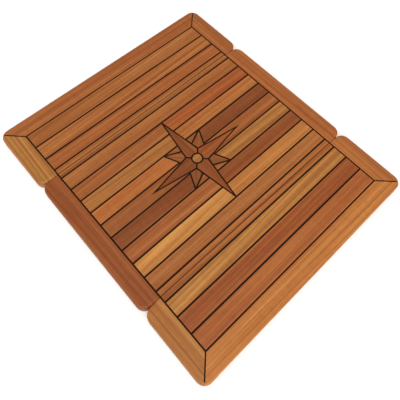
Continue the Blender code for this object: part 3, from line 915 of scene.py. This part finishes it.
@dataclass
class SeamWeb:
    """One panel's web of seam compound, pressed against the wood on both sides of every seam.

    Attributes:
        node: The CAD node that it replaces.
        body: The body that it rides on.
        squeeze: How far its walls move out.
        corner_limit: The least opening that a corner's move is divided by, which keeps needle corners short.
        same_way: Walls whose normals agree more than this count as one wall.
        tries: How often moves that fold a face over are cut back.
        relief: What such a move is multiplied by each time.
        turned: A face whose normal agrees less than this with its old one has folded over.
    """

    node: str
    body: str
    squeeze: float = 0.0010
    corner_limit: float = 0.4
    same_way: float = 0.999
    tries: int = 6
    relief: float = 0.6
    turned: float = 0.5

    def press(self, vertex: bmesh.types.BMVert) -> Vector:
        """How far a corner of the web moves so that each wall beside it moves straight out.

        Args:
            vertex: The corner.

        Returns:
            The move, which is level.
        """
        walls: list[Vector] = []
        for face in vertex.link_faces:
            wall = abs(face.normal.z) < UPRIGHT
            if wall and all(face.normal.dot(other) < self.same_way for other in walls):
                walls.append(face.normal)
        if not walls:
            return Vector()
        opening = 1.0 + walls[0].dot(walls[-1]) if len(walls) > 1 else 1.0
        return sum(walls, Vector()) / max(opening, self.corner_limit) * self.squeeze

    def build(self, bench: Bench) -> None:
        """Fills the seams. Moves that would fold a face of the web over are cut back, step by step.

        Args:
            bench: Where the web is shaped.
        """
        bm = bmesh.new()
        bm.from_mesh(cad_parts[self.node].data)
        bmesh.ops.remove_doubles(bm, verts=bm.verts, dist=MERGE_DISTANCE)
        bm.normal_update()
        low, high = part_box(self.node)
        starts = {v: v.co.copy() for v in bm.verts}
        moves = {v: self.press(v) for v in bm.verts}
        facings = {f: f.normal.copy() for f in bm.faces}
        for _ in range(self.tries):
            for vertex, start in starts.items():
                vertex.co.x = min(max(start.x + moves[vertex].x, low.x), high.x)
                vertex.co.y = min(max(start.y + moves[vertex].y, low.y), high.y)
            bm.normal_update()
            turned = [f for f in bm.faces if f.normal.dot(facings[f]) < self.turned]
            for vertex in {v for f in turned for v in f.verts}:
                moves[vertex] *= self.relief
        bench.set_down(bm, "seam_" + self.node, self.body, COMPOUND, self.node)


@dataclass
class BasePanel:
    """A plywood base panel, its edges eased.

    Attributes:
        node: The CAD node that it replaces.
        body: The body that it rides on.
        easing: How far the rounding reaches from each edge.
    """

    node: str
    body: str
    easing: float = 0.0006

    def build(self, bench: Bench) -> None:
        """Cuts the panel.

        Args:
            bench: Where it is cut.
        """
        bm = bench.copy_of(self.node)
        bench.ease(bm, list(bm.edges), self.easing, 2)
        bench.set_down(bm, "ply_" + self.node, self.body, PLYWOOD, self.node)


@dataclass
class CountersunkScrew:
    """A small screw head with a cross recess, seen from below.

    Attributes:
        head_radius: The head's radius.
        head_height: How far it stands off its seat.
        crown: The radius where its chamfer starts, as a share of the head's.
        chamfer_drop: The chamfer's height, as a share of the head's.
        recess_half: Half the recess's span.
        recess_arm: Half an arm's width.
        recess_depth: How deep the recess is.
    """

    head_radius: float = 0.0031
    head_height: float = 0.0007
    crown: float = 0.92
    chamfer_drop: float = 0.3
    recess_half: float = 0.0016
    recess_arm: float = 0.00045
    recess_depth: float = 0.0007

    def add_to(self, bm: bmesh.types.BMesh, place: Vector) -> None:
        """Adds one screw head, shaped facing up from a grid of nine squares and then turned over.

        Args:
            bm: The set of screws that it joins.
            place: The middle of its seat, on the face that it clamps, with the head hanging below.
        """
        made = bmesh.ops.create_grid(bm, x_segments=3, y_segments=3, size=self.recess_half)
        verts = made["verts"]
        inner = round(min(abs(v.co.x) for v in verts), 6)
        squeeze = self.recess_arm / inner
        for vertex in verts:
            if abs(vertex.co.x) < self.recess_half / 2:
                vertex.co.x *= squeeze
            if abs(vertex.co.y) < self.recess_half / 2:
                vertex.co.y *= squeeze
        faces = each_once(f for v in verts for f in v.link_faces)
        cross = [f for f in faces if min(map(abs, f.calc_center_median().xy)) < MERGE_DISTANCE]
        rim = each_once(e for f in faces for e in f.edges if e.is_boundary)
        sunk = bmesh.ops.extrude_face_region(bm, geom=cross)
        floor = [v for v in sunk["geom"] if isinstance(v, bmesh.types.BMVert)]
        bmesh.ops.translate(bm, verts=floor, vec=(0, 0, -self.recess_depth))
        bmesh.ops.delete(bm, geom=cross, context="FACES")
        verts = list(verts) + floor
        outline = (
            (self.head_radius * self.crown, 0.0),
            (self.head_radius, -self.head_height * self.chamfer_drop),
            (self.head_radius, -self.head_height),
        )
        for radius, drop in outline:
            grown = bmesh.ops.extrude_edge_only(bm, edges=rim)
            ring = [v for v in grown["geom"] if isinstance(v, bmesh.types.BMVert)]
            rim = [e for e in grown["geom"] if isinstance(e, bmesh.types.BMEdge) and e.is_boundary]
            for vertex in ring:
                flat = Vector((vertex.co.x, vertex.co.y)).normalized() * radius
                vertex.co = (flat.x, flat.y, drop)
            verts += ring
        back = bmesh.ops.contextual_create(bm, geom=rim)
        faces = each_once([f for v in verts if v.is_valid for f in v.link_faces] + back["faces"])
        bmesh.ops.recalc_face_normals(bm, faces=faces)
        live = [v for v in verts if v.is_valid]
        bmesh.ops.rotate(bm, verts=live, cent=(0, 0, 0), matrix=Matrix.Rotation(math.pi, 3, "X"))
        bmesh.ops.translate(bm, verts=live, vec=place - Vector((0, 0, self.head_height)))


@dataclass
class PianoHinge:
    """A continuous hinge along one joint: two plates with knuckles, a pin and the screws.

    Attributes:
        side: left or right.
        screw_count: Screws in each plate.
        screw_inset: From a plate's free edge to its screws.
        plate: A plate's thickness.
        easing: How far the pin's ends are rounded.
        screw: The screw head.
    """

    side: str
    screw_count: int = 8
    screw_inset: float = 0.0095
    plate: float = 0.0016
    easing: float = 0.0002
    screw: CountersunkScrew = field(default_factory=CountersunkScrew)

    def screw_line(self, bench: Bench, node: str, body: str) -> None:
        """Sets the screws of one plate along its middle.

        Args:
            bench: Where they are made.
            node: The plate's CAD node.
            body: The body that the plate is fixed to.
        """
        low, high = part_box(node)
        pin_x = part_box(self.side + "_hinge_pin")[0].x
        if abs(high.x - pin_x) > abs(low.x - pin_x):
            x = high.x - self.screw_inset
        else:
            x = low.x + self.screw_inset
        bm = bmesh.new()
        step = (high.y - low.y) / self.screw_count
        for i in range(self.screw_count):
            self.screw.add_to(bm, Vector((x, low.y + (i + 0.5) * step, high.z - self.plate)))
        settle(bm)
        bench.set_down(bm, f"screws_{node}", body, STEEL)

    def build(self, bench: Bench) -> None:
        """Makes both plates, the pin and the screws.

        Args:
            bench: Where they are made.
        """
        for part, body in (("centre_plate", "centre"), ("leaf_plate", self.side + "_leaf")):
            node = f"{self.side}_hinge_{part}"
            bench.set_down(bench.copy_of(node), "steel_" + node, body, STEEL, node)
            self.screw_line(bench, node, body)
        node = self.side + "_hinge_pin"
        bm = bench.copy_of(node)
        ends = [e for e in bm.edges if e.calc_face_angle(0.0) > SHARP_ANGLE]
        bench.ease(bm, ends, self.easing, 2)
        bench.set_down(bm, "steel_" + node, "centre", STEEL, node)


@dataclass
class FootBar:
    """A rubber foot bar with rounded ends, a screw channel and grip grooves underneath.

    Attributes:
        node: The CAD node that it replaces.
        body: The body that it rides on.
        corner_radius: The plan radius of its corners.
        bottom_round: The rounding of its bottom edges.
        rim: How far the grooves stop short of its walls.
        channel_half: Half the screw channel's width.
        groove_in: From its middle to a groove's inner edge.
        groove_out: From its middle to a groove's outer edge.
        groove_depth: How deep the channel and the grooves are.
        screw_count: Its screws.
        screw: The screw head.
    """

    node: str
    body: str
    corner_radius: float = 0.006
    bottom_round: float = 0.0015
    rim: float = 0.0022
    channel_half: float = 0.0036
    groove_in: float = 0.0048
    groove_out: float = 0.0060
    groove_depth: float = 0.0010
    screw_count: int = 4
    screw: CountersunkScrew = field(default_factory=lambda: CountersunkScrew(0.0028, 0.0006))

    def build(self, bench: Bench) -> None:
        """Moulds the bar and sets its screws.

        Args:
            bench: Where they are made.
        """
        low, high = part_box(self.node)
        middle, size = (low + high) / 2, high - low
        bm = bmesh.new()
        bmesh.ops.create_cube(bm, size=1.0)
        bmesh.ops.scale(bm, verts=bm.verts, vec=size)
        upright = [e for e in bm.edges if abs(e.verts[0].co.z - e.verts[1].co.z) > size.z / 2]
        bench.ease(bm, upright, self.corner_radius, 8)
        under = [e for e in bm.edges if all(v.co.z < -size.z / 2 + MERGE_DISTANCE for v in e.verts)]
        bench.ease(bm, under, self.bottom_round, 3)
        bottom = min(bm.faces, key=lambda f: (round(f.calc_center_median().z, 5), -f.calc_area()))
        bmesh.ops.inset_region(bm, faces=[bottom], thickness=self.rim - self.bottom_round, use_boundary=True,
                               use_even_offset=True)
        cuts = (-self.groove_out, -self.groove_in, -self.channel_half, self.channel_half, self.groove_in,
                self.groove_out)
        floor = [bottom]
        for x in cuts:
            around = each_once(part for f in floor for part in (*f.edges, *f.verts))
            cut = bmesh.ops.bisect_plane(bm, geom=floor + around, plane_co=(x, 0, 0), plane_no=(1, 0, 0))
            floor = [g for g in cut["geom"] if isinstance(g, bmesh.types.BMFace)]
        sunk = [f for f in floor if self.in_groove(f.calc_center_median().x)]
        for face in sunk:
            raised = bmesh.ops.extrude_discrete_faces(bm, faces=[face])["faces"]
            bmesh.ops.translate(bm, verts=list(raised[0].verts), vec=(0, 0, self.groove_depth))
        bmesh.ops.translate(bm, verts=bm.verts, vec=middle)
        settle(bm)
        bench.set_down(bm, "rubber_" + self.node, self.body, RUBBER, self.node)

        screws = bmesh.new()
        step = size.y / self.screw_count
        for i in range(self.screw_count):
            place = Vector((middle.x, low.y + (i + 0.5) * step, low.z + self.groove_depth))
            self.screw.add_to(screws, place)
        settle(screws)
        bench.set_down(screws, "screws_" + self.node, self.body, STEEL)

    def in_groove(self, x: float) -> bool:
        """Whether a place across the bar lies in the channel or in a groove."""
        return abs(x) < self.channel_half or self.groove_in < abs(x) < self.groove_out


@dataclass
class CentrePanel:
    """The middle panel, with the star.

    Attributes:
        planks: The timber of its strips and planks, from left to right.
        boards: The timber of its side boards.
        star: The timber of the star's points, rays and disc.
        slips: The timber of the star's slips.
    """

    planks: dict[str, Timber] = field(default_factory=lambda: {
        "centre_strip_left": Timber(Tone.AMBER, 0.86),
        "plank_1": Timber(Tone.AMBER, 0.96),
        "plank_2_near": Timber(Tone.COPPER, 0.98),
        "plank_2_far": Timber(Tone.RUSSET, 1.24),
        "plank_3_near": Timber(Tone.HONEY, 0.86),
        "plank_3_far": Timber(Tone.AMBER, 1.04),
        "plank_4_near": Timber(Tone.AMBER, 1.24, quarter_sawn=False),
        "plank_4_far": Timber(Tone.UMBER, 0.88),
        "plank_5_near": Timber(Tone.COPPER, 0.90, quarter_sawn=False),
        "plank_5_far": Timber(Tone.COPPER, 0.96),
        "plank_6_near": Timber(Tone.UMBER, 0.92),
        "plank_6_far": Timber(Tone.GOLDEN, 0.90),
        "plank_7_near": Timber(Tone.COPPER, 1.00),
        "plank_7_far": Timber(Tone.RUSSET, 0.90),
        "plank_8_near": Timber(Tone.GOLDEN, 1.10, quarter_sawn=False),
        "plank_8_far": Timber(Tone.HONEY, 1.05),
        "plank_9": Timber(Tone.AMBER, 0.92),
        "centre_strip_right": Timber(Tone.AMBER, 1.00),
    })
    boards: dict[str, Timber] = field(default_factory=lambda: {
        "centre_side_board_near": Timber(Tone.RUSSET, 0.94, GrainRun.CROSSWISE),
        "centre_side_board_far": Timber(Tone.COPPER, 1.05, GrainRun.CROSSWISE),
    })
    star: dict[str, Timber] = field(default_factory=lambda: {
        "star_point_north": Timber(Tone.RUSSET, 1.08),
        "star_point_west": Timber(Tone.RUSSET, 0.78, GrainRun.CROSSWISE),
        "star_point_south": Timber(Tone.RUSSET, 0.75),
        "star_point_east": Timber(Tone.RUSSET, 0.88, GrainRun.CROSSWISE),
        "star_ray_north_east": Timber(Tone.COPPER, 0.72, GrainRun.NORTH_EAST),
        "star_ray_north_west": Timber(Tone.COPPER, 0.80, GrainRun.NORTH_WEST),
        "star_ray_south_west": Timber(Tone.COPPER, 0.80, GrainRun.NORTH_EAST),
        "star_ray_south_east": Timber(Tone.COPPER, 0.66, GrainRun.NORTH_WEST),
        "star_disc": Timber(Tone.HONEY, 0.74),
    })
    slips: dict[str, Timber] = field(default_factory=lambda: {
        "north_east": Timber(Tone.COPPER, 0.96),
        "south_east": Timber(Tone.COPPER, 0.86),
        "north_west": Timber(Tone.COPPER, 0.78),
        "south_west": Timber(Tone.COPPER, 0.90),
    })

    def build(self, bench: Bench) -> None:
        """Builds everything that stays with the centre panel.

        Args:
            bench: Where it is made.
        """
        BasePanel("centre_base", "centre").build(bench)
        Boarding("centre", self.planks).build(bench)
        Boarding("centre", self.boards).build(bench)
        CompassStar(self.star, self.slips).build(bench)
        SeamWeb("centre_caulking", "centre").build(bench)
        for side in ("left", "right"):
            FootBar("centre_foot_" + side, "centre").build(bench)


@dataclass
class Leaf:
    """A folding leaf.

    Attributes:
        side: left or right.
        planks: The timber of its strip and its planks, from the joint outwards.
        end: The end board's timber.
        near: The near side board's.
        far: The far side board's.
    """

    side: str
    planks: tuple[Timber, Timber, Timber, Timber]
    end: Timber
    near: Timber
    far: Timber

    def build(self, bench: Bench) -> None:
        """Builds everything that moves with the leaf.

        Args:
            bench: Where it is made.
        """
        body = self.side + "_leaf"
        nodes = [self.side + "_strip"] + [f"{self.side}_plank_{i}" for i in (1, 2, 3)]
        boards = {self.side + "_end_board": self.end, self.side + "_side_board_near": self.near,
                  self.side + "_side_board_far": self.far}
        BasePanel(self.side + "_base", body).build(bench)
        Boarding(body, dict(zip(nodes, self.planks))).build(bench)
        Boarding(body, boards).build(bench)
        SeamWeb(self.side + "_caulking", body).build(bench)
        FootBar(self.side + "_leaf_foot", body).build(bench)


# ---- Studio ------------------------------------------------------------------------------------------------


@dataclass
class Studio:
    """The pale floor, the soft light and the camera.

    Attributes:
        floor_colour: The floor.
        floor_half: Half the floor's side.
        sky_light: How bright the surroundings are.
        sky_seen: How bright they look behind the object.
        key_strength: The main light.
        key_spread: How wide it looks from the mat, in degrees, which softens its shadows.
        key_from: Where it comes from.
        aim: The point of the planks' top that the camera looks at.
        azimuth: The camera's place round the mat, in degrees.
        elevation: Its height above the horizon, in degrees.
        distance: From the aim to the camera.
        roll: The camera's turn about its own axis, in degrees.
        lens: Its focal length, in millimetres.
        shift: How far the frame is moved down, as a share of its width.
    """

    floor_colour: Colour = (0.90, 0.90, 0.89)
    floor_half: float = 40.0
    sky_light: float = 0.50
    sky_seen: float = 1.0
    key_strength: float = 2.7
    key_spread: float = 50.0
    key_from: Vector = field(default_factory=lambda: Vector((0.55, -0.60, 1.50)))
    aim: Vector = field(default_factory=lambda: Vector((-0.1107, 0.1117, 0.0396)))
    azimuth: float = 45.33
    elevation: float = 57.0
    distance: float = 1.4528
    roll: float = 2.57
    lens: float = 45.0
    shift: float = -0.225

    def lay_floor(self) -> None:
        """Lays the floor on the level that the feet stand on."""
        bm = bmesh.new()
        bmesh.ops.create_grid(bm, x_segments=1, y_segments=1, size=self.floor_half)
        mesh = bpy.data.meshes.new("floor")
        bm.to_mesh(mesh)
        bm.free()
        pen = MaterialCanvas("floor", {"Specular IOR Level": 0.1, "Roughness": 0.9})
        grain = pen.spread(pen.noise(pen.places["Object"], (3.0, 3.0, 3.0), 2.0), 0.3, 0.7)
        paler = tuple(min(1.0, c * 1.01) for c in self.floor_colour)
        pen.feed(pen.shader.inputs["Base Color"], pen.blend(grain, (*self.floor_colour, 1.0), (*paler, 1.0)))
        mesh.materials.append(pen.material)
        floor = bpy.data.objects.new("floor", mesh)
        bpy.context.collection.objects.link(floor)

    def hang_light(self) -> None:
        """Sets up the wide main light and lights the surroundings."""
        lamp = bpy.data.lights.new("main_light", "SUN")
        lamp.energy = self.key_strength
        lamp.angle = math.radians(self.key_spread)
        key = bpy.data.objects.new("main_light", lamp)
        key.location = self.key_from
        key.rotation_mode = "QUATERNION"
        key.rotation_quaternion = (-self.key_from).to_track_quat("-Z", "Y")
        bpy.context.collection.objects.link(key)
        world = bpy.data.worlds.new("studio")
        world.use_nodes = True
        pen = Canvas(world.node_tree)
        seen = pen.node("ShaderNodeLightPath").outputs["Is Camera Ray"]
        strength = pen.spread(seen, 0.0, 1.0, self.sky_light, self.sky_seen)
        backdrop = world.node_tree.nodes["Background"]
        backdrop.inputs["Color"].default_value = (1.0, 1.0, 1.0, 1.0)
        pen.feed(backdrop.inputs["Strength"], strength)
        bpy.context.scene.world = world
        bpy.context.scene.view_settings.view_transform = "Standard"

    def place_camera(self) -> None:
        """Places the camera and makes it the scene's."""
        turn, rise = math.radians(self.azimuth), math.radians(self.elevation)
        back = Vector((math.sin(turn) * math.cos(rise), -math.cos(turn) * math.cos(rise), math.sin(rise)))
        lens = bpy.data.cameras.new("camera")
        lens.lens = self.lens
        lens.shift_y = self.shift
        camera = bpy.data.objects.new("camera", lens)
        camera.location = self.aim + back * self.distance
        camera.rotation_mode = "QUATERNION"
        level = (-back).to_track_quat("-Z", "Y")
        camera.rotation_quaternion = level @ Quaternion((0, 0, 1), math.radians(self.roll))
        bpy.context.collection.objects.link(camera)
        bpy.context.scene.camera = camera

    def build(self) -> None:
        """Sets the whole studio up."""
        self.place_camera()
        self.lay_floor()
        self.hang_light()


def main() -> None:
    """Builds the mat, sub-assembly by sub-assembly, and the studio round it."""
    logging.basicConfig(level=logging.INFO, format="%(name)s: %(message)s")
    bench = Bench(seed=7)
    CentrePanel().build(bench)
    cross = GrainRun.CROSSWISE
    left = Leaf(
        "left",
        planks=(
            Timber(Tone.AMBER, 0.92),
            Timber(Tone.COPPER, 1.06),
            Timber(Tone.AMBER, 0.98),
            Timber(Tone.AMBER, 0.92),
        ),
        end=Timber(Tone.COPPER, 0.98),
        near=Timber(Tone.GOLDEN, 0.90, cross),
        far=Timber(Tone.COPPER, 0.98, cross),
    )
    right = Leaf(
        "right",
        planks=(
            Timber(Tone.AMBER, 1.00),
            Timber(Tone.GOLDEN, 0.96),
            Timber(Tone.RUSSET, 1.08),
            Timber(Tone.COPPER, 1.12),
        ),
        end=Timber(Tone.HONEY, 1.15),
        near=Timber(Tone.HONEY, 0.86, cross),
        far=Timber(Tone.AMBER, 1.06, cross),
    )
    for leaf in (left, right):
        leaf.build(bench)
    for side in ("left", "right"):
        PianoHinge(side).build(bench)
    Studio().build()


if __name__ == "__main__":
    main()
